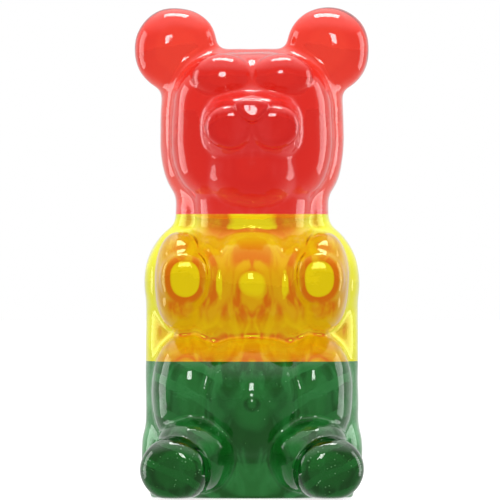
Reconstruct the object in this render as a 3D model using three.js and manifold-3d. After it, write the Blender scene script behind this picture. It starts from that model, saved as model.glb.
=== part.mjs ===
// A giant gummy bear of one moulded body, poured in three flavours: a green seat, a yellow belly
// and a red head. Millimetres, +Z up, the bear faces -Y. The origin is on the ground under the
// middle of its box. The back is the flat open side of the mould.
//
// The form is a field: each lump of the bear is a rounded solid, and neighbours melt into each
// other over a stated width, as they do in a cast of jelly. One mesh is drawn round the field and
// then cut level by level into the three flavours.

import * as THREE from 'three';
import Module from 'manifold-3d';
import { mergeVertices } from 'three/addons/utils/BufferGeometryUtils.js';

// ---- Driving dimensions -------------------------------------------------------------------

const HEIGHT = 240; // ground to the tops of the ears
const WIDTH = 114.5; // across the ears, the widest place
const DEPTH = 89; // soles of the feet to the flat back
const BACK = DEPTH / 2; // y of the flat back
const GREEN_TOP = 67; // level where the green flavour ends
const YELLOW_TOP = 139.25; // level where the yellow flavour ends

const COLOURS = { green: 0x1f6b2c, yellow: 0xe2951a, red: 0xe2332c };

// ---- The lumps of the bear ----------------------------------------------------------------

// A rounded solid with its middle at `at` and half sizes `size`. `face` squares its outline as
// seen from the front, and `side` flattens its front, both from 2 for an ellipsoid upwards.
// `narrow` draws it in below and widens it above by that share, and `turn` tilts it about X, Y
// and Z in degrees. It returns the distance to its surface in mm, below zero inside.
function lump({ at, size, face = 2, side = 2, narrow = 0, turn = [0, 0, 0] }) {
  const euler = new THREE.Euler(...turn.map(THREE.MathUtils.degToRad));
  const toLocal = new THREE.Matrix4()
    .compose(
      new THREE.Vector3(...at),
      new THREE.Quaternion().setFromEuler(euler),
      new THREE.Vector3(1, 1, 1),
    )
    .invert();
  const [rx, ry, rz] = size;
  const q = new THREE.Vector3();
  const eps = 0.01; // keeps the slopes finite on the lump's own axes
  return (p) => {
    q.copy(p).applyMatrix4(toLocal);
    const widened = 1 + narrow * THREE.MathUtils.clamp(q.z / rz, -1, 1);
    const x = Math.abs(q.x) / (rx * widened) + eps;
    const y = Math.abs(q.y) / ry + eps;
    const z = Math.abs(q.z) / rz + eps;
    const ring = (x ** face + z ** face) ** (1 / face);
    const level = (ring ** side + y ** side) ** (1 / side);
    const outer = (ring / level) ** (side - 1);
    const slope = Math.hypot(
      (outer * (x / ring) ** (face - 1)) / rx,
      (outer * (z / ring) ** (face - 1)) / rz,
      (y / level) ** (side - 1) / ry,
    );
    return (level - 1) / slope;
  };
}

// The same lump on both sides of the bear.
function pair(shape) {
  const one = lump(shape);
  const mirrored = new THREE.Vector3();
  return (p) => one(mirrored.set(Math.abs(p.x), p.y, p.z));
}

// The back layer, which gives the bear its outline.
const back = [
  // head
  { field: lump({ at: [0, 30, 180.5], size: [45, 26, 40], face: 3.3, side: 3 }), melt: 0 },
  // neck
  { field: lump({ at: [0, 30, 139], size: [37.6, 26, 34], face: 2.6, side: 3 }), melt: 8 },
  // body, down past the ground
  { field: lump({ at: [0, 30, 57], size: [52.2, 27, 77], face: 5, side: 3 }), melt: 7 },
  // shoulders
  { field: pair({ at: [30, 30, 106], size: [22.9, 26, 29.6], side: 3 }), melt: 4 },
  // hips
  { field: lump({ at: [0, 30, 22], size: [54.2, 26, 24], face: 3.4, side: 3 }), melt: 8 },
  // ears, cupped a little inwards
  {
    field: pair({
      at: [37.2, 29, 219.6],
      size: [20.3, 15.5, 20.6],
      face: 2.15,
      side: 2.5,
      turn: [6, 0, -8],
    }),
    melt: 10,
  },
];

// The front layer, a little narrower than the back all the way round.
const front = [
  // face
  { field: lump({ at: [0, 15, 180.5], size: [39.5, 30, 38], face: 3, side: 3.4 }), melt: 5 },
  // throat
  { field: lump({ at: [0, 20, 152], size: [29.5, 31, 42], face: 2.8, side: 2.6 }), melt: 6 },
  // rib cage
  { field: lump({ at: [0, 14, 106], size: [40, 28, 32], face: 2.6, side: 3 }), melt: 6 },
  // belly
  { field: lump({ at: [0, 4, 47], size: [30, 34, 35], side: 2.2 }), melt: 5 },
  // seat, between the legs
  { field: lump({ at: [0, 17, 16], size: [36, 34, 34], face: 2.4, side: 2.6 }), melt: 12 },
  // thighs
  { field: pair({ at: [31, 4.3, 52], size: [18.3, 26.3, 29], face: 2.3, side: 2.3 }), melt: 5 },
  // chest, domed between the arms
  { field: lump({ at: [0, 3, 101.5], size: [28.5, 31, 31], face: 2.1, side: 1.85 }), melt: 5 },
];

const limbs = [
  // arms, from the shoulders down to the elbows on the thighs
  { field: pair({ at: [34.3, 0, 106], size: [13.3, 29, 24.6], face: 2.4, side: 2.8 }), melt: 4 },
  // paws, held forward beside the chest
  { field: pair({ at: [32.8, -9, 106.8], size: [12.7, 23.5, 14.2], face: 2.2, side: 6 }), melt: 4 },
  // legs, spread outwards, their upper edge falling towards the middle
  {
    field: pair({
      at: [28, -5, 21.5],
      size: [20, 31, 18.5],
      face: 2.2,
      side: 2.6,
      turn: [0, -20, 0],
    }),
    melt: 4,
  },
  // feet, their soles upright
  { field: pair({ at: [36.2, -22, 15.2], size: [17.5, 22, 16], side: 4, turn: [4, 0, 8] }), melt: 4 },
  // navel
  { field: lump({ at: [0, -25.5, 46.4], size: [6.4, 5.5, 6.4] }), melt: 1.5 },
];

const face = [
  // eyes, two wide domes under the forehead
  { field: pair({ at: [14.4, -5, 206.2], size: [15.4, 12, 11.6], side: 2.4 }), melt: 3 },
  // muzzle, and the chin that slopes back from it
  { field: lump({ at: [0, -6, 181.5], size: [25.3, 23.6, 18.2], face: 2.8, side: 2.3 }), melt: 5 },
  { field: lump({ at: [0, -3, 166], size: [21, 20, 19] }), melt: 6 },
  // lips, two lobes under the nose
  { field: pair({ at: [11.3, -22, 182.6], size: [12, 12, 11.6], side: 2.2 }), melt: 2.5 },
  // nose, wide above and narrow below
  {
    field: lump({
      at: [0, -29.5, 189.2],
      size: [8, 6.5, 5.6],
      face: 2.6,
      side: 3.4,
      narrow: 0.42,
    }),
    melt: 1,
  },
];

// ---- Melting lumps together ---------------------------------------------------------------

// The lower of two distances, melted together where they differ by less than `width`.
function softMin(a, b, width) {
  if (width <= 0) return Math.min(a, b);
  const h = Math.max(width - Math.abs(a - b), 0) / width;
  return Math.min(a, b) - (h * h * width) / 4;
}

function softMax(a, b, width) {
  return -softMin(-a, -b, width);
}

const BACK_ROUND = 14; // width over which the sides turn into the flat back
const BASE_ROUND = 12; // width over which the sides turn into the flat base
const TRIM = 2.5; // the field runs this far past the flat faces, which the cut then makes

function bear(p) {
  let d = Infinity;
  for (const { field, melt } of [...back, ...front, ...limbs, ...face]) {
    d = d === Infinity ? field(p) : softMin(d, field(p), melt);
  }
  d = softMax(d, p.y - BACK - TRIM, BACK_ROUND);
  return softMax(d, -p.z - TRIM, BASE_ROUND);
}

// ---- Drawing one mesh round the field -----------------------------------------------------

const COARSE = 4.6; // grid spacing on the body
const FINE = 3; // grid spacing on the face
const FACE_HALF = 28; // the face reaches this far to each side
const [FACE_LOW, FACE_HIGH] = [166, 214]; // levels of the chin and of the brow
const MARGIN = 10; // the grid runs this far past the bear

// Grid lines from one value to another, `step(value)` apart.
function lines(from, to, step) {
  const out = [from];
  while (out.at(-1) < to) out.push(out.at(-1) + step(out.at(-1)));
  return out;
}

const half = lines(0, WIDTH / 2 + MARGIN, (x) => (x < FACE_HALF ? FINE : COARSE));
const gridX = [...half.slice(1).map((x) => -x).reverse(), ...half];
const gridY = lines(-BACK - MARGIN, BACK + MARGIN, () => COARSE * 0.9);
const gridZ = lines(-MARGIN, HEIGHT + MARGIN, (z) => (z > FACE_LOW && z < FACE_HIGH ? FINE : COARSE));

// Where only opposite corners of a grid square are inside, two sheets of the surface would meet
// along one edge. The nearer of the other two corners is counted in, which fills the crevice.
function fillCrevices(values, [nx, ny, nz]) {
  const steps = [1, nx, nx * ny];
  const ends = [nx, ny, nz];
  const barelyIn = -0.01;
  let filled = true;
  while (filled) {
    filled = false;
    for (let axis = 0; axis < 3; axis++) {
      const [a, b, c] = [axis, (axis + 1) % 3, (axis + 2) % 3];
      for (let i = 0; i < ends[a]; i++)
        for (let j = 0; j < ends[b] - 1; j++)
          for (let k = 0; k < ends[c] - 1; k++) {
            const n = i * steps[a] + j * steps[b] + k * steps[c];
            const square = [n, n + steps[b], n + steps[b] + steps[c], n + steps[c]];
            const [p, q, r, s] = square.map((m) => values[m] < 0);
            if (p !== r || q !== s || p === q) continue;
            const outside = p ? [square[1], square[3]] : [square[0], square[2]];
            outside.sort((m, o) => values[m] - values[o]);
            values[outside[0]] = barelyIn;
            filled = true;
          }
    }
  }
}

// Surface nets: a vertex in every cell that the surface crosses, and a quad across every grid
// edge that it crosses.
function net(field) {
  const [nx, ny, nz] = [gridX.length, gridY.length, gridZ.length];
  const index = (i, j, k) => i + nx * (j + ny * k);
  const values = new Float64Array(nx * ny * nz);
  const p = new THREE.Vector3();
  for (let k = 0; k < nz; k++)
    for (let j = 0; j < ny; j++)
      for (let i = 0; i < nx; i++)
        values[index(i, j, k)] = field(p.set(gridX[i], gridY[j], gridZ[k]));
  fillCrevices(values, [nx, ny, nz]);

  const vertices = [];
  const cellVertex = new Int32Array(nx * ny * nz).fill(-1);
  const corners = [0, 1, 2, 3, 4, 5, 6, 7].map((n) => [n & 1, (n >> 1) & 1, n >> 2]);
  const cellEdges = [];
  for (let a = 0; a < 8; a++)
    for (const bit of [1, 2, 4]) if (!(a & bit)) cellEdges.push([corners[a], corners[a | bit]]);

  for (let k = 0; k < nz - 1; k++)
    for (let j = 0; j < ny - 1; j++)
      for (let i = 0; i < nx - 1; i++) {
        const sum = new THREE.Vector3();
        let crossings = 0;
        for (const [[ax, ay, az], [bx, by, bz]] of cellEdges) {
          const va = values[index(i + ax, j + ay, k + az)];
          const vb = values[index(i + bx, j + by, k + bz)];
          if (va < 0 === vb < 0) continue;
          const a = new THREE.Vector3(gridX[i + ax], gridY[j + ay], gridZ[k + az]);
          const b = new THREE.Vector3(gridX[i + bx], gridY[j + by], gridZ[k + bz]);
          sum.add(a.lerp(b, va / (va - vb)));
          crossings++;
        }
        if (crossings) {
          cellVertex[index(i, j, k)] = vertices.length;
          vertices.push(sum.divideScalar(crossings));
        }
      }

  const quads = [];
  const axes = [
    [1, 0, 0],
    [0, 1, 0],
    [0, 0, 1],
  ];
  for (let k = 1; k < nz - 1; k++)
    for (let j = 1; j < ny - 1; j++)
      for (let i = 1; i < nx - 1; i++)
        axes.forEach(([dx, dy, dz], axis) => {
          const inside = values[index(i, j, k)] < 0;
          if (inside === values[index(i + dx, j + dy, k + dz)] < 0) return;
          const [b, c] = [axes[(axis + 1) % 3], axes[(axis + 2) % 3]];
          const quad = [
            [0, 0],
            [1, 0],
            [1, 1],
            [0, 1],
          ].map(
            ([m, n]) =>
              cellVertex[
                index(i - m * b[0] - n * c[0], j - m * b[1] - n * c[1], k - m * b[2] - n * c[2])
              ],
          );
          quads.push(inside ? quad : quad.reverse());
        });
  return { vertices, quads };
}

// Slides a point along the field's slope onto the surface.
function settle(p, field) {
  const tries = 3;
  const nudge = 0.05;
  const leastSlope = 0.2; // keeps a step short in a crease, where the slope fades out
  const q = new THREE.Vector3();
  for (let step = 0; step < tries; step++) {
    const d = field(p);
    const slope = new THREE.Vector3(
      field(q.set(p.x + nudge, p.y, p.z)) - d,
      field(q.set(p.x, p.y + nudge, p.z)) - d,
      field(q.set(p.x, p.y, p.z + nudge)) - d,
    ).divideScalar(nudge);
    p.addScaledVector(slope, -d / Math.max(slope.lengthSq(), leastSlope));
  }
}

// Evens out the quads by drawing every vertex towards its neighbours, along the surface.
function relax({ vertices, quads }, field, rounds) {
  const hold = 0.4; // share of its place that a vertex keeps in a round
  const neighbours = vertices.map(() => new Set());
  for (const quad of quads)
    quad.forEach((v, n) => {
      neighbours[v].add(quad[(n + 1) % 4]).add(quad[(n + 3) % 4]);
    });
  for (let round = 0; round < rounds; round++) {
    const moved = vertices.map((v, n) => {
      const mean = new THREE.Vector3();
      for (const m of neighbours[n]) mean.add(vertices[m]);
      return mean.divideScalar(neighbours[n].size).lerp(v, hold);
    });
    moved.forEach((m, n) => vertices[n].copy(m));
    for (const v of vertices) settle(v, field);
  }
}

// Puts vertices that lie close to a flat face or a flavour level exactly on it.
function snap(vertices) {
  const near = 0.6;
  for (const v of vertices) {
    for (const level of [0, GREEN_TOP, YELLOW_TOP]) if (Math.abs(v.z - level) < near) v.z = level;
    if (Math.abs(v.y - BACK) < near) v.y = BACK;
  }
}

// ---- Solids -------------------------------------------------------------------------------

const wasm = await Module();
wasm.setup();

function solidFrom(positions, triangles) {
  return new wasm.Manifold(
    new wasm.Mesh({
      numProp: 3,
      vertProperties: Float32Array.from(positions),
      triVerts: Uint32Array.from(triangles),
    }),
  );
}

function wholeBear() {
  const mesh = net(bear);
  relax(mesh, bear, 6);
  snap(mesh.vertices);
  const triangles = [];
  for (const [a, b, c, d] of mesh.quads) {
    const along = mesh.vertices[a].distanceTo(mesh.vertices[c]);
    const across = mesh.vertices[b].distanceTo(mesh.vertices[d]);
    triangles.push(...(along < across ? [a, b, c, a, c, d] : [b, c, d, b, d, a]));
  }
  return solidFrom(
    mesh.vertices.flatMap((v) => v.toArray()),
    triangles,
  );
}

// A block across the whole bear between two levels, in front of the flat back.
function slab(low, high) {
  const wide = 200;
  const box = new THREE.BoxGeometry(wide, wide, high - low);
  box.translate(0, BACK - wide / 2, (low + high) / 2);
  box.deleteAttribute('normal').deleteAttribute('uv');
  const merged = mergeVertices(box);
  return solidFrom(merged.attributes.position.array, merged.index.array);
}

function flavour(name, solid, colour) {
  const { vertProperties, triVerts } = solid.getMesh();
  const geometry = new THREE.BufferGeometry();
  geometry.setAttribute('position', new THREE.BufferAttribute(vertProperties, 3));
  geometry.setIndex(new THREE.BufferAttribute(triVerts, 1));
  geometry.computeVertexNormals();
  const material = new THREE.MeshStandardMaterial({ color: colour, roughness: 0.12, metalness: 0 });
  const mesh = new THREE.Mesh(geometry, material);
  mesh.name = name;
  return mesh;
}

const whole = wholeBear();
const group = new THREE.Group();
group.name = 'gummy_bear';
group.add(
  flavour('green_seat', whole.intersect(slab(0, GREEN_TOP)), COLOURS.green),
  flavour('yellow_belly', whole.intersect(slab(GREEN_TOP, YELLOW_TOP)), COLOURS.yellow),
  flavour('red_head', whole.intersect(slab(YELLOW_TOP, HEIGHT + 20)), COLOURS.red),
);

export default group;
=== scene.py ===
# A giant gummy bear, 24 cm tall: one casting of set fruit jelly in three flavours, a green seat,
# a yellow belly and a red head. It faces -Y and stands on its flat base, with +Z up.

import math
import random

import bmesh
import bpy
import numpy as np
from mathutils import Euler, Matrix, Vector, noise
from mathutils.bvhtree import BVHTree


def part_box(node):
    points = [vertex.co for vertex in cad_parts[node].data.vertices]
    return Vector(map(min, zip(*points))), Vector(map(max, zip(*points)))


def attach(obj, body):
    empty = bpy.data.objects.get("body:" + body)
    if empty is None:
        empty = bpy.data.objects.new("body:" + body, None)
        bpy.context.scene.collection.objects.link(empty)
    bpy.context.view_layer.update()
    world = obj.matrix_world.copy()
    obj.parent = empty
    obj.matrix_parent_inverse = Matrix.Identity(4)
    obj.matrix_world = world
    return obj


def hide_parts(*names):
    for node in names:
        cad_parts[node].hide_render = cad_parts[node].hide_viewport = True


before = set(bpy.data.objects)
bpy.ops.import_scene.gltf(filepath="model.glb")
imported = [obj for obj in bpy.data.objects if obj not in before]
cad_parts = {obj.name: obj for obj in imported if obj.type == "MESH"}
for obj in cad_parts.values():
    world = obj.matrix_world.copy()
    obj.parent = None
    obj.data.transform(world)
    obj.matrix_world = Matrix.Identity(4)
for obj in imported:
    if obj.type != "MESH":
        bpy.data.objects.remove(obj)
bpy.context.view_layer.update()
scene = bpy.context.scene

# ---- The casting ---------------------------------------------------------------------------
# Hot jelly is poured into one soft mould that lies on its front, so the mould shapes everything
# but the flat back. Each lump of the bear is a rounded hollow of the mould, and the jelly keeps
# a soft crease where two lumps meet. All sizes but the studio's are in millimetres.

MM = 0.001
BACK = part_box("red_head")[1].y / MM
GREEN_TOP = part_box("green_seat")[1].z / MM
YELLOW_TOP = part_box("yellow_belly")[1].z / MM
MILLIMETRES = Matrix.Diagonal((MM, MM, MM, 1))
MIRROR = Matrix.Diagonal((-1, 1, 1, 1))


def place(cast, verts, matrix, both):
    """Puts a finished lump in its place and, where both, its mirror image across the bear."""
    faces = list({face for vert in verts for face in vert.link_faces})
    bmesh.ops.transform(cast, matrix=MILLIMETRES @ matrix, verts=verts)
    if both:
        copied = bmesh.ops.duplicate(cast, geom=faces)["geom"]
        twins = [item for item in copied if isinstance(item, bmesh.types.BMVert)]
        bmesh.ops.transform(cast, matrix=MIRROR, verts=twins)
        bmesh.ops.reverse_faces(cast, faces=[f for f in copied if isinstance(f, bmesh.types.BMFace)])


def lump(cast, at, size, face=2.0, side=2.0, narrow=0.0, turn=(0, 0, 0), both=False):
    """A rounded solid: face squares its outline from the front, side flattens its front, and
    narrow draws it in below and widens it above by that share."""
    verts = bmesh.ops.create_icosphere(cast, subdivisions=5, radius=1)["verts"]
    for vert in verts:
        x, y, z = (abs(c) for c in vert.co)
        ring = (x**face + z**face) ** (1 / face)
        level = (ring**side + y**side) ** (1 / side)
        vert.co = Vector(c * s for c, s in zip(vert.co, size)) / level
        vert.co.x *= 1 + narrow * vert.co.z / size[2]
    turned = Euler([math.radians(a) for a in turn]).to_matrix().to_4x4()
    place(cast, verts, Matrix.Translation(at) @ turned, both)


def neighbour_mean(edges, count):
    """Gives a function from one row of numbers a vertex to the mean of its neighbours' rows."""
    here = np.concatenate([edges[:, 0], edges[:, 1]])
    there = np.concatenate([edges[:, 1], edges[:, 0]])
    links = np.bincount(here, minlength=count)[:, None]

    def mean(rows):
        sums = [np.bincount(here, rows[there, k], count) for k in range(rows.shape[1])]
        return np.stack(sums, 1) / links

    return mean


def read(collection, name, width, kind=float):
    """Reads one property of all of a mesh's vertices, normals or edges, as a row for each."""
    values = np.empty(len(collection) * width, kind)
    collection.foreach_get(name, values)
    return values.reshape(-1, width)


def melt(mesh, rounds, flatten=0.0, step=0.5):
    """Fills the creases: in each round a vertex moves by the share step towards the mean of its
    neighbours, but inwards only by the share flatten of that, so ridges stay."""
    mean = neighbour_mean(read(mesh.edges, "vertices", 2, np.int32), len(mesh.vertices))
    at = read(mesh.vertices, "co", 3)
    for _ in range(rounds):
        out = read(mesh.vertex_normals, "vector", 3)
        pull = mean(at) - at
        rise = (pull * out).sum(1, keepdims=True)
        kept = np.where(rise > 0, rise, rise * flatten)
        at = at + step * (pull - rise * out + kept * out)
        mesh.vertices.foreach_set("co", at.ravel())
        mesh.update()


def skin(cast, voxel):
    """Joins the lumps in one closed skin of even squares."""
    mesh = bpy.data.meshes.new("skin")
    cast.to_mesh(mesh)
    holder = bpy.data.objects.new("skin", mesh)
    scene.collection.objects.link(holder)
    wrap = holder.modifiers.new("wrap", "REMESH")
    wrap.mode = "VOXEL"
    wrap.voxel_size = voxel * MM
    graph = bpy.context.evaluated_depsgraph_get()
    done = bpy.data.meshes.new_from_object(holder.evaluated_get(graph))
    bpy.data.objects.remove(holder)
    bpy.data.meshes.remove(mesh)
    return done


def fuse(cast, voxel, rounds):
    """Joins the lumps, fills their creases, and puts the result back in cast."""
    mesh = skin(cast, voxel)
    melt(mesh, rounds)
    cast.clear()
    cast.from_mesh(mesh)
    bpy.data.meshes.remove(mesh)


cast = bmesh.new()

# The back layer, which gives the bear its outline.
lump(cast, (0, 30, 180.5), (45, 26, 40), face=3.3, side=3)  # head
lump(cast, (0, 30, 139), (37.6, 26, 34), face=2.6, side=3)  # neck
lump(cast, (0, 30, 57), (52.2, 27, 77), face=5, side=3)  # body
lump(cast, (30, 30, 106), (22.9, 26, 29.6), side=3, both=True)  # shoulders
lump(cast, (0, 30, 22), (54.2, 26, 24), face=3.4, side=3)  # hips
lump(cast, (37.2, 29, 220), (20.3, 15.5, 20.8), face=2.15, side=2.5, turn=(6, 0, -8), both=True)  # ears
fuse(cast, voxel=1.1, rounds=14)

# The front layer, a little narrower than the back all the way round.
lump(cast, (0, 15, 180.5), (39.5, 30, 38), face=3, side=3.4)  # face
lump(cast, (0, 20, 152), (29.5, 31, 42), face=2.8, side=2.6)  # throat
lump(cast, (0, 14, 106), (40, 28, 32), face=2.6, side=3)  # rib cage
lump(cast, (0, 4, 47), (30, 34, 35), side=2.2)  # belly
lump(cast, (0, 17, 16), (36, 34, 34), face=2.4, side=2.6)  # seat
lump(cast, (31, 4.3, 52), (18.3, 26.3, 29), face=2.3, side=2.3, both=True)  # thighs
lump(cast, (0, -3, 163), (24, 21, 22))  # chin
fuse(cast, voxel=1.1, rounds=8)
lump(cast, (0, 3, 105), (28.5, 31, 28), face=2.1)  # chest
lump(cast, (0, -6, 181.5), (25.3, 23.6, 18.2), face=2.8, side=2.3)  # muzzle
lump(cast, (34.3, 0, 106), (13.3, 29, 24.6), face=2.4, side=2.8, both=True)  # arms
lump(cast, (32.8, -9, 107.5), (12.7, 22, 15), face=2.2, side=4.5, both=True)  # paws
lump(cast, (20.5, 2, 104), (12, 26.5, 25), side=2.3, both=True)  # armpits
fuse(cast, voxel=1.0, rounds=12)

# The legs, and last the features, whose creases stay crisp.
lump(cast, (28, -5, 21.5), (20, 31, 18.5), face=2.2, side=2.6, turn=(0, -20, 0), both=True)  # legs
lump(cast, (36.2, -22, 15.2), (17.5, 22, 16), side=4, turn=(4, 0, 8), both=True)  # feet
fuse(cast, voxel=0.8, rounds=6)
lump(cast, (14.4, -5, 206.2), (15.4, 12, 11.6), side=2.4, both=True)  # eyes
lump(cast, (10.9, -22, 182.6), (12.6, 11.2, 11.4), side=4, turn=(9, 0, 0), both=True)  # lips
lump(cast, (0, -30.3, 189.2), (8, 6.4, 6), face=2.3, side=4.5, narrow=0.5, turn=(-7, 0, 0))  # nose
lump(cast, (0, -25.5, 46.4), (6.4, 5.5, 6.4))  # navel
bear = skin(cast, voxel=0.8)
cast.free()
melt(bear, rounds=2)
melt(bear, rounds=2, flatten=1.0)


def wave(mesh, size, height):
    """Gives the skin the slow unevenness of soft jelly."""
    at = read(mesh.vertices, "co", 3)
    out = read(mesh.vertex_normals, "vector", 3)
    lift = np.array([noise.noise(Vector(p) / (size * MM)) for p in at])
    mesh.vertices.foreach_set("co", (at + out * (lift * height * MM)[:, None]).ravel())
    mesh.update()


def level_off(mesh, axis, level, side, rounding):
    """Presses what lies past a level into a flat face there, with rounded edges."""
    at = read(mesh.vertices, "co", 3)
    past = side * (at[:, axis] / MM - level) + rounding
    pressed = level + side * (rounding * np.tanh(past / rounding) - rounding)
    at[:, axis] = np.where(past > 0, pressed * MM, at[:, axis])
    mesh.vertices.foreach_set("co", at.ravel())
    mesh.update()


level_off(bear, axis=1, level=BACK, side=1, rounding=2.6)
wave(bear, size=13, height=0.4)
level_off(bear, axis=2, level=0, side=-1, rounding=2.2)
bear.shade_smooth()

# ---- The green seat ------------------------------------------------------------------------
# The lowest flavour, with the legs, the feet and the navel: clear green jelly, with painted light and
# pale veils that make it greyish where it lies square and painted shade that makes it deep green in the
# legs.
# Each flavour sets before the next is poured on it, so they meet at level faces, each with a cloudy skin.

# The flavours stay a hair apart, so that no two faces lie in one place.
GAP = 0.02
# A piece's materials: its clear jelly comes first, then the cloudy skin of its cuts.
SEAM_SLOT = 1
TOP = (0, 0, 1)
BOTTOM = (0, 0, -1)


def cut(part, height, beyond):
    """Cuts away what lies beyond a height and closes the cut with one flat, cloudy face."""
    everything = part.verts[:] + part.edges[:] + part.faces[:]
    level = Vector((0, 0, height)) * MM
    made = bmesh.ops.bisect_plane(
        part, geom=everything, plane_co=level, plane_no=beyond, clear_outer=True
    )
    rim = [item for item in made["geom_cut"] if isinstance(item, bmesh.types.BMEdge)]
    for edge in rim:
        edge.smooth = False
    for face in bmesh.ops.edgeloop_fill(part, edges=rim)["faces"]:
        face.smooth = True
        face.material_index = SEAM_SLOT


def flavour(name, clear, seam, low=None, high=None):
    """Takes one flavour out of the bear, cut off below and above where a height is given."""
    part = bmesh.new()
    part.from_mesh(bear)
    if low is not None:
        cut(part, low, BOTTOM)
    if high is not None:
        cut(part, high - GAP, TOP)
    bmesh.ops.triangulate(part, faces=[face for face in part.faces if len(face.verts) > 4])
    bmesh.ops.recalc_face_normals(part, faces=part.faces[:])
    mesh = bpy.data.meshes.new(name)
    part.to_mesh(mesh)
    part.free()
    mesh.materials.append(clear)
    mesh.materials.append(seam)
    piece = bpy.data.objects.new(name, mesh)
    scene.collection.objects.link(piece)
    return piece


def feed(tree, node, inputs):
    """Sets a node's inputs, each to a plain value or to another node's output."""
    for name, value in inputs.items():
        if isinstance(value, bpy.types.NodeSocket):
            tree.links.new(value, node.inputs[name])
        else:
            node.inputs[name].default_value = value


def add(tree, kind, inputs=None, **settings):
    """Adds a shader node with its settings and inputs."""
    made = tree.nodes.new("ShaderNode" + kind)
    for name, value in settings.items():
        setattr(made, name, value)
    feed(tree, made, inputs or {})
    return made


def ramp(tree, value, start, end, low=0.0, high=1.0):
    """Goes smoothly from low to high as the value goes from start to end."""
    inputs = {"Value": value, "From Min": start, "From Max": end, "To Min": low, "To Max": high}
    return add(tree, "MapRange", inputs, interpolation_type="SMOOTHSTEP").outputs["Result"]


def maths(tree, operation, *values):
    """Works out one value from others, such as their sum."""
    return add(tree, "Math", dict(enumerate(values)), operation=operation).outputs[0]


def product(tree, first, *others):
    """Multiplies shares, for an effect that only shows where all of them let it."""
    for other in others:
        first = maths(tree, "MULTIPLY", first, other)
    return first


def blend(tree, share, under, over):
    """Lays the colour over on the colour under, by a share."""
    inputs = {"Factor": share, "A": under, "B": over}
    return add(tree, "Mix", inputs, data_type="RGBA").outputs["Result"]


def mottle(tree, where, scale, detail=2, distortion=0):
    """Soft patches, that many to a metre, as a value which drifts about a half."""
    inputs = {"Vector": where, "Scale": scale, "Detail": detail, "Distortion": distortion}
    return add(tree, "TexNoise", inputs).outputs["Fac"]


# Where the painted light and shade of a skin change: from the front layer to the back layer, down from
# the height where its edges end, and as it turns edge on. The crests, painted pale streaks, keep to the
# thighs.
FRONT_TO_BACK = (-8 * MM, 14 * MM)
TOP_FADE = 20 * MM
SLOPE_TO_EDGE = (0.86, 0.55)
CRESTS_ASIDE = (12 * MM, 26 * MM)
CRESTS_AHEAD = (25 * MM, 5 * MM)


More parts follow.
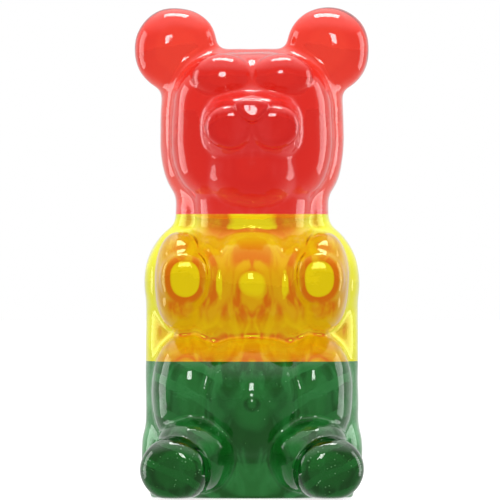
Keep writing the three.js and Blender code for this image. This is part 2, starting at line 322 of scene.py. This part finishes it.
def skin_group():
    """The look of a jelly skin. Its tint paints light and shade: painted light where it lies square
    to the flat back, painted shade where it slopes, a painted sheen where it stands edge on, and
    pale veils of painted light in streaks; beside them the fine ripple that the mould leaves.
    Square from is how squarely it lies where the first tint begins, Front edges the share of the
    edge sheen that the front layer has, and Edge top the height where the edge sheen and the veils end.
    Roughness is the gloss plus patches of haze."""
    group = bpy.data.node_groups.new("jelly skin", "ShaderNodeTree")
    sockets = group.interface
    for label in ("Square light", "Slope shade", "Edge sheen", "Veil tint"):
        sockets.new_socket(label, in_out="INPUT", socket_type="NodeSocketColor")
    for label in ("Square from", "Front edges", "Edge top", "Veil", "Streaks", "Ripple", "Gloss", "Haze"):
        sockets.new_socket(label, in_out="INPUT", socket_type="NodeSocketFloat")
    sockets.new_socket("Colour", in_out="OUTPUT", socket_type="NodeSocketColor")
    sockets.new_socket("Roughness", in_out="OUTPUT", socket_type="NodeSocketFloat")
    sockets.new_socket("Normal", in_out="OUTPUT", socket_type="NodeSocketVector")
    given = group.nodes.new("NodeGroupInput").outputs
    result = group.nodes.new("NodeGroupOutput").inputs
    coordinates = add(group, "TexCoord").outputs
    where = coordinates["Object"]
    spot = add(group, "SeparateXYZ", {0: where}).outputs

    # How squarely the skin lies, which places the painted light, shade and sheen, with a little drift so
    # that no tint ends in a hard line.
    lie = add(group, "SeparateXYZ", {0: coordinates["Normal"]}).outputs["Y"]
    drift = mottle(group, where, scale=45, detail=3)
    squareness = maths(group, "MULTIPLY_ADD", drift, 0.02, maths(group, "ABSOLUTE", lie))
    square = ramp(group, squareness, given["Square from"], 1.0)
    back_layer = ramp(group, spot["Y"], *FRONT_TO_BACK, low=given["Front edges"])
    above = maths(group, "SUBTRACT", spot["Z"], given["Edge top"])
    below_top = ramp(group, above, 0, -TOP_FADE)
    edge = product(group, ramp(group, squareness, *SLOPE_TO_EDGE), back_layer, below_top)
    tint = blend(group, square, given["Slope shade"], given["Square light"])
    tint = blend(group, edge, tint, given["Edge sheen"])

    # The veils, pale streaks of painted light, are alike on both sides of the bear, and run inwards and
    # down.
    aside = maths(group, "ABSOLUTE", spot["X"])
    folded = add(group, "CombineXYZ", {"X": aside, "Y": spot["Y"], "Z": spot["Z"]}).outputs[0]
    slant = {"Vector": folded, "Rotation": (0, math.radians(-55), 0), "Scale": (1, 0.6, 0.4)}
    along = add(group, "Mapping", slant).outputs["Vector"]
    streaks = mottle(group, along, scale=75, detail=4, distortion=1.4)
    crest_turn = {"Vector": folded, "Rotation": (0, math.radians(27.5), 0)}
    across = add(group, "Mapping", crest_turn).outputs["Vector"]
    crests = {"Vector": across, "Scale": 24.6, "Distortion": 2.5, "Detail": 2, "Phase Offset": 0.24}
    crest = add(group, "TexWave", crests, bands_direction="Z").outputs["Fac"]
    on_thighs = ramp(group, aside, *CRESTS_ASIDE)
    on_front = ramp(group, spot["Y"], *CRESTS_AHEAD)
    crest = product(group, ramp(group, crest, 0.65, 1.0), given["Streaks"], on_thighs, on_front)
    paleness = maths(group, "ADD", streaks, crest)
    # The veils lay pale painted light over the tint.
    painted_veil = product(group, ramp(group, paleness, 0.46, 0.66), given["Veil"], below_top)
    tint = blend(group, painted_veil, tint, given["Veil tint"])
    group.links.new(tint, result["Colour"])

    patches = mottle(group, where, scale=90, detail=4)
    dull = maths(group, "MULTIPLY_ADD", patches, given["Haze"], given["Gloss"])
    group.links.new(dull, result["Roughness"])

    grain = mottle(group, where, scale=420)
    swell = mottle(group, where, scale=110)
    relief = maths(group, "MULTIPLY_ADD", grain, 0.25, swell)
    bump = {"Height": relief, "Strength": given["Ripple"], "Distance": 0.4 * MM}
    group.links.new(add(group, "Bump", bump).outputs["Normal"], result["Normal"])
    return group


jelly_skin = skin_group()


def blank(name):
    """Starts a material, and gives it with its node tree and its shader."""
    material = bpy.data.materials.new(name)
    material.use_nodes = True
    return material, material.node_tree, material.node_tree.nodes["Principled BSDF"]


def jelly(name, tints, levels, fading, shine=(1, 1, 1)):
    """Clear coloured jelly. The tints and levels are those of its skin, which paint light, shade and
    sheen into its colour; fading is how fast red, green and blue die away in a metre, and shine tints
    what it mirrors."""
    material, tree, body = blank(name)
    colours = {label: (*tint, 1) for label, tint in tints.items()}
    finish = {"Ripple": 0.35, "Gloss": 0.03, "Haze": 0.05}
    look = add(tree, "Group", {**colours, **levels, **finish}, node_tree=jelly_skin).outputs
    surface = {
        "Base Color": look["Colour"],
        "Roughness": look["Roughness"],
        "Normal": look["Normal"],
        "IOR": 1.4,
        "Transmission Weight": 1.0,
        "Specular Tint": (*shine, 1),
    }
    feed(tree, body, surface)
    density = max(fading)
    passed = (*[1 - rate / density for rate in fading], 1)
    depth = add(tree, "VolumeAbsorption", {"Density": density, "Color": passed})
    feed(tree, tree.nodes["Material Output"], {"Volume": depth.outputs["Volume"]})
    return material


def cloudy(name, thin, thick, glow):
    """The skin that sets on a flavour before the next is poured on it: dense, cloudy jelly, in
    patches of a thin and a thick tint, which closes the view from one flavour into the next.
    Its faint glow is painted light, standing in for the light that the jelly round it scatters."""
    material, tree, body = blank(name)
    patches = mottle(tree, add(tree, "TexCoord").outputs["Object"], scale=90, detail=4)
    tint = blend(tree, ramp(tree, patches, 0.4, 0.6), (*thin, 1), (*thick, 1))
    surface = {
        "Base Color": tint,
        "Emission Color": tint,
        "Emission Strength": glow,
        "Roughness": 0.5,
    }
    feed(tree, body, surface)
    return material


green_jelly = jelly(
    "green jelly",
    tints={
        "Square light": (0.18, 0.34, 0.17),
        "Slope shade": (0.015, 0.1, 0.012),
        "Edge sheen": (0.3, 0.42, 0.3),
        "Veil tint": (0.56, 0.62, 0.55),
    },
    levels={
        "Square from": 0.94,
        "Front edges": 0.15,
        "Edge top": 100 * MM,
        "Veil": 0.6,
        "Streaks": 0.4,
    },
    fading=(46, 17, 37),
)
green_seam = cloudy("green seam", thin=(0.1, 0.5, 0.14), thick=(0.06, 0.4, 0.1), glow=0.1)
seat = flavour("jelly_seat", green_jelly, green_seam, high=GREEN_TOP)
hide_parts("green_seat")
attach(seat, "root")

# ---- The bubbles ---------------------------------------------------------------------------
# Fine air bubbles that the green jelly kept under its skin as it set, most of them in the
# soles of the feet and the rest in the belly. Each is a round pocket smaller than a pinhead.

SOLE = Vector((38.6, 0, 14.5))
SOLE_REACH = 12.5
SOLE_BUBBLES = 26
SOLE_DEPTHS = (1.2, 4)
SOLE_RADII = (0.18, 0.38)
BELLY_HALF = 22
BELLY_HEIGHTS = (26, GREEN_TOP - 3)
BELLY_BUBBLES = 14
BELLY_DEPTHS = (1.5, 5)
BELLY_RADII = (0.15, 0.3)
AHEAD = 100
random.seed(11)
skin_tree = BVHTree.FromPolygons(
    [vert.co for vert in bear.vertices], [face.vertices for face in bear.polygons]
)


def bubble(air, x, z, depth, radius):
    """Puts a bubble under the skin, straight behind the point that shows at x and z."""
    start = Vector((x, -AHEAD, z)) * MM
    front = skin_tree.ray_cast(start, Vector((0, 1, 0)))[0]
    made = bmesh.ops.create_icosphere(air, subdivisions=2, radius=radius * MM)["verts"]
    bmesh.ops.translate(air, verts=made, vec=front + Vector((0, depth * MM, 0)))


air = bmesh.new()
for side in (-1, 1):
    for _ in range(SOLE_BUBBLES):
        angle = random.uniform(0, math.tau)
        reach = SOLE_REACH * math.sqrt(random.random())
        x = side * SOLE.x + reach * math.cos(angle)
        z = SOLE.z + reach * math.sin(angle)
        bubble(air, x, z, random.uniform(*SOLE_DEPTHS), random.uniform(*SOLE_RADII))
    for _ in range(BELLY_BUBBLES):
        x = side * BELLY_HALF * random.random()
        z = random.uniform(*BELLY_HEIGHTS)
        bubble(air, x, z, random.uniform(*BELLY_DEPTHS), random.uniform(*BELLY_RADII))
for face in air.faces:
    face.smooth = True
bubble_mesh = bpy.data.meshes.new("fine_bubbles")
air.to_mesh(bubble_mesh)
air.free()

pocket, pocket_tree, pocket_body = blank("air pockets")
speckle = mottle(pocket_tree, add(pocket_tree, "TexCoord").outputs["Object"], scale=300)
# The pockets are pale and glow a little, a painted glint for the light they catch in the jelly.
pale = blend(pocket_tree, speckle, (0.5, 0.78, 0.52, 1), (0.85, 0.97, 0.85, 1))
painted_glint = {"Base Color": pale, "Emission Color": pale, "Emission Strength": 0.15, "Roughness": 0.2}
feed(pocket_tree, pocket_body, painted_glint)
bubble_mesh.materials.append(pocket)
bubbles = bpy.data.objects.new("fine_bubbles", bubble_mesh)
scene.collection.objects.link(bubbles)
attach(bubbles, "root")

# ---- The yellow belly ----------------------------------------------------------------------
# The middle flavour, with the chest, the arms and the paws: golden yellow jelly, with painted shade that
# makes it deep orange on slopes and a painted sheen that makes it lemon along the sides. It is fused to
# the green below.

yellow_jelly = jelly(
    "yellow jelly",
    tints={
        "Square light": (0.82, 0.82, 0.3),
        "Slope shade": (0.56, 0.05, 0.2),
        "Edge sheen": (0.8, 1.0, 0.1),
        "Veil tint": (0.92, 0.9, 0.3),
    },
    levels={
        "Square from": 0.965,
        "Front edges": 0.25,
        "Edge top": 200 * MM,
        "Veil": 0.3,
        "Streaks": 0.0,
    },
    fading=(2, 6, 60),
    shine=(1, 0.95, 0.2),
)
yellow_seam = cloudy("yellow seam", thin=(0.92, 0.95, 0.1), thick=(0.9, 0.8, 0.05), glow=0.38)
belly = flavour("jelly_belly", yellow_jelly, yellow_seam, low=GREEN_TOP, high=YELLOW_TOP)
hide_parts("yellow_belly")
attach(belly, "root")

# ---- The red head --------------------------------------------------------------------------
# The top flavour, with the ears and the face: clear red jelly, with a painted sheen that makes it pinkish
# towards the sides and a little painted shade where it slopes. It is fused to the yellow at the neck.

red_jelly = jelly(
    "red jelly",
    tints={
        "Square light": (0.97, 0.11, 0.055),
        "Slope shade": (0.9, 0.075, 0.04),
        "Edge sheen": (1, 0.5, 0.5),
        "Veil tint": (1, 0.6, 0.6),
    },
    levels={
        "Square from": 0.94,
        "Front edges": 1.0,
        "Edge top": 212 * MM,
        "Veil": 0.25,
        "Streaks": 0.0,
    },
    fading=(5, 30, 30),
)
red_seam = cloudy("red seam", thin=(0.95, 0.2, 0.16), thick=(0.95, 0.12, 0.09), glow=0.4)
head = flavour("jelly_head", red_jelly, red_seam, low=YELLOW_TOP)
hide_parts("red_head")
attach(head, "root")
bpy.data.meshes.remove(bear)

# ---- The studio ----------------------------------------------------------------------------
# A white sweep lit from behind, a soft box on each side, one overhead and a small one in front.
# What the jelly mirrors is brighter overhead and behind the bear than in front of it.

world = bpy.data.worlds.new("white sweep")
scene.world = world
world.use_nodes = True
sweep = world.node_tree
ray = add(sweep, "LightPath").outputs
rays = {0: ray["Is Glossy Ray"], 1: ray["Is Transmission Ray"]}
mirrored = add(sweep, "Math", rays, operation="SUBTRACT", use_clamp=True).outputs[0]
heading = add(sweep, "TexCoord").outputs["Generated"]
towards = add(sweep, "SeparateXYZ", {0: heading}).outputs
behind = ramp(sweep, towards["Y"], -0.3, 0.7, low=0.5, high=0.8)
overhead = ramp(sweep, towards["Z"], 0.4, 0.9, high=1.8)
around = maths(sweep, "ADD", behind, overhead)
strength = add(sweep, "Mix", {"Factor": mirrored, "A": 1.0, "B": around}).outputs["Result"]
feed(sweep, sweep.nodes["Background"], {"Color": (1, 1, 1, 1), "Strength": strength})

# The paper lies a hair below the base, so that the two don't lie in one place.
FLOOR_HALF = 20
FLOOR_DROP = 0.2 * MM
sheet = bmesh.new()
bmesh.ops.create_grid(sheet, x_segments=1, y_segments=1, size=FLOOR_HALF)
bmesh.ops.translate(sheet, verts=sheet.verts, vec=(0, 0, -FLOOR_DROP))
floor_mesh = bpy.data.meshes.new("floor")
sheet.to_mesh(floor_mesh)
sheet.free()
floor = bpy.data.objects.new("floor", floor_mesh)
scene.collection.objects.link(floor)
paper, paper_tree, paper_body = blank("white paper")
lit_paper = {
    "Base Color": (0.25, 0.25, 0.25, 1),
    "Roughness": 0.9,
    "Emission Color": (1, 1, 1, 1),
    "Emission Strength": 0.75,
}
feed(paper_tree, paper_body, lit_paper)
floor_mesh.materials.append(paper)
floor.visible_glossy = False


def softbox(name, at, target, size, power):
    """Hangs a soft light, hidden from the camera and from the view through the jelly."""
    light = bpy.data.lights.new(name, "AREA")
    light.shape = "RECTANGLE"
    light.size, light.size_y = size
    light.energy = power
    lamp = bpy.data.objects.new(name, light)
    scene.collection.objects.link(lamp)
    lamp.location = at
    lamp.rotation_euler = (Vector(target) - Vector(at)).to_track_quat("-Z", "Y").to_euler()
    lamp.visible_camera = False
    lamp.visible_transmission = False


for side in (-1, 1):
    softbox("side box", at=(side * 0.9, 0.2, 0.2), target=(0, 0, 0.12), size=(0.5, 0.9), power=6)
softbox("top box", at=(0, 0.1, 1.1), target=(0, 0, 0.15), size=(0.6, 0.35), power=12)
softbox("front box", at=(0, -1.2, 0.45), target=(0, 0, 0.15), size=(0.2, 0.32), power=4.5)

# The lens is set for a render 500 pixels wide, where each pixel covers 0.4913 mm of the bear's
# outline, which lies 20 mm behind the middle of its box. The camera stands a millimetre aside.
RENDER_WIDTH = 500
PIXEL_SIZE = 0.4913
OUTLINE = 0.02
DISTANCE = 8.0
EYE_LEVEL = 0.1216
ASIDE = -0.98
lens = bpy.data.cameras.new("camera")
lens.sensor_width = 36
lens.lens = lens.sensor_width * (DISTANCE + OUTLINE) / (RENDER_WIDTH * PIXEL_SIZE * MM)
camera = bpy.data.objects.new("camera", lens)
scene.collection.objects.link(camera)
camera.location = (ASIDE * MM, -DISTANCE, EYE_LEVEL)
camera.rotation_euler = (math.pi / 2, 0, 0)
scene.camera = camera
scene.view_settings.view_transform = "Standard"

# Light crosses many jelly skins before it leaves the bear.
BOUNCES = 24
scene.cycles.max_bounces = BOUNCES
scene.cycles.transmission_bounces = BOUNCES
